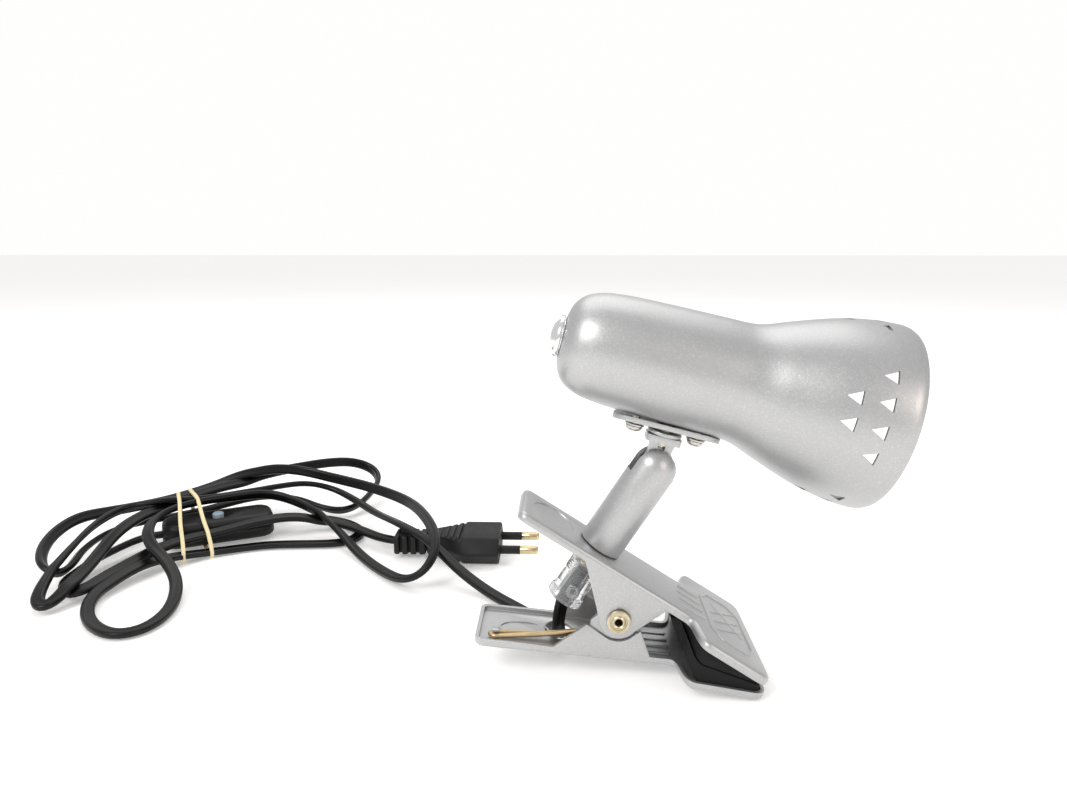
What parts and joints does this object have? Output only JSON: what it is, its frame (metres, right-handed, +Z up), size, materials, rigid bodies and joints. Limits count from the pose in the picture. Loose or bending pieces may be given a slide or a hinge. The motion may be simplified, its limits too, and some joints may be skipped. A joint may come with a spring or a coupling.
{
  "type": "clip on reading lamp",
  "caption": "Clip-on reading lamp with a sprung clamp, a tilting and swivelling vented metal shade, a screw lampholder, and a tied flat lead with an inline switch and a flat two-pin plug.",
  "frame": {"origin": "centre of the lamp's footprint on the table, without its lead; z = 0 is the table", "axes": "+X the way the jaws and the shade open, +Y across the lamp towards the side the lead leaves, +Z up"},
  "size_m": [0.3675, 0.2336, 0.1369],
  "materials": {
    "silver_paint": "satin",
    "black_rubber": "matt",
    "zinc_plate": "satin",
    "chrome": "polished",
    "clear_plastic": "gloss",
    "black_plastic": "satin",
    "cord_pvc": "satin",
    "ceramic": "satin",
    "brass": "polished",
    "cream_rubber": "matt",
    "button_plastic": "satin"
  },
  "bodies": {
    "lower_clip": {"lower_arm": "silver_paint", "lower_pad": "black_rubber", "pivot_rivet": "zinc_plate", "torsion_spring": "zinc_plate", "cord_riser": "cord_pvc", "cord_lead": "cord_pvc", "cord_loop": "cord_pvc", "cord_tail": "cord_pvc", "cord_hank_front": "cord_pvc", "cord_hank_back": "cord_pvc", "rubber_band": "cream_rubber", "switch_base": "black_plastic", "switch_cover": "black_plastic", "switch_screw": "zinc_plate", "switch_contacts": "brass", "plug_body": "black_plastic", "plug_relief": "black_plastic", "plug_pin_near": "brass", "plug_pin_far": "brass"},
    "upper_clip": {"upper_arm": "silver_paint", "upper_pad": "black_rubber", "arm_tube": "silver_paint", "tube_insert": "zinc_plate", "threaded_nipple": "zinc_plate", "tilt_pin": "zinc_plate", "friction_washer_near": "black_rubber", "friction_washer_far": "black_rubber", "arm_wire": "cord_pvc", "cord_grip": "clear_plastic", "cord_grip_screw": "clear_plastic"},
    "neck": {"tilt_tongue": "silver_paint", "swivel_collar": "silver_paint", "swivel_rivet": "zinc_plate"},
    "head": {"head_plate": "silver_paint", "plate_screw_rear": "zinc_plate", "plate_washer_rear": "zinc_plate", "plate_screw_front": "zinc_plate", "plate_washer_front": "zinc_plate", "head_shade": "silver_paint", "rear_cap": "chrome", "holder_bracket": "zinc_plate", "holder_nipple": "zinc_plate", "holder_nut": "zinc_plate", "lampholder_body": "black_plastic", "lampholder_core": "ceramic", "screw_shell": "brass", "centre_contact": "brass", "head_wire": "cord_pvc"},
    "button": {"switch_button": "button_plastic"}
  },
  "joints": [
    {"name": "clip_pivot", "type": "hinge", "parent": "lower_clip", "child": "upper_clip", "pos_m": [-0.02321, 0, 0.02235], "axis": [0, -1, 0], "range_deg": [0, 30], "stiffness_Nm_per_rad": 0.6, "springref_deg": -45.84, "deforming": ["torsion_spring", "cord_riser"]},
    {"name": "head_tilt", "type": "hinge", "parent": "upper_clip", "child": "neck", "pos_m": [-0.01057, 0, 0.07476], "axis": [0, 1, 0], "range_deg": [-50, 45]},
    {"name": "head_swivel", "type": "hinge", "parent": "neck", "child": "head", "pos_m": [-0.00714, 0, 0.08834], "axis": [0.2453, 0, 0.9694], "range_deg": [-120, 120]},
    {"name": "switch_press", "type": "slide", "parent": "lower_clip", "child": "button", "axis": [0, 0, -1], "range_m": [0, 0.0015], "stiffness_N_per_m": 400}
  ]
}
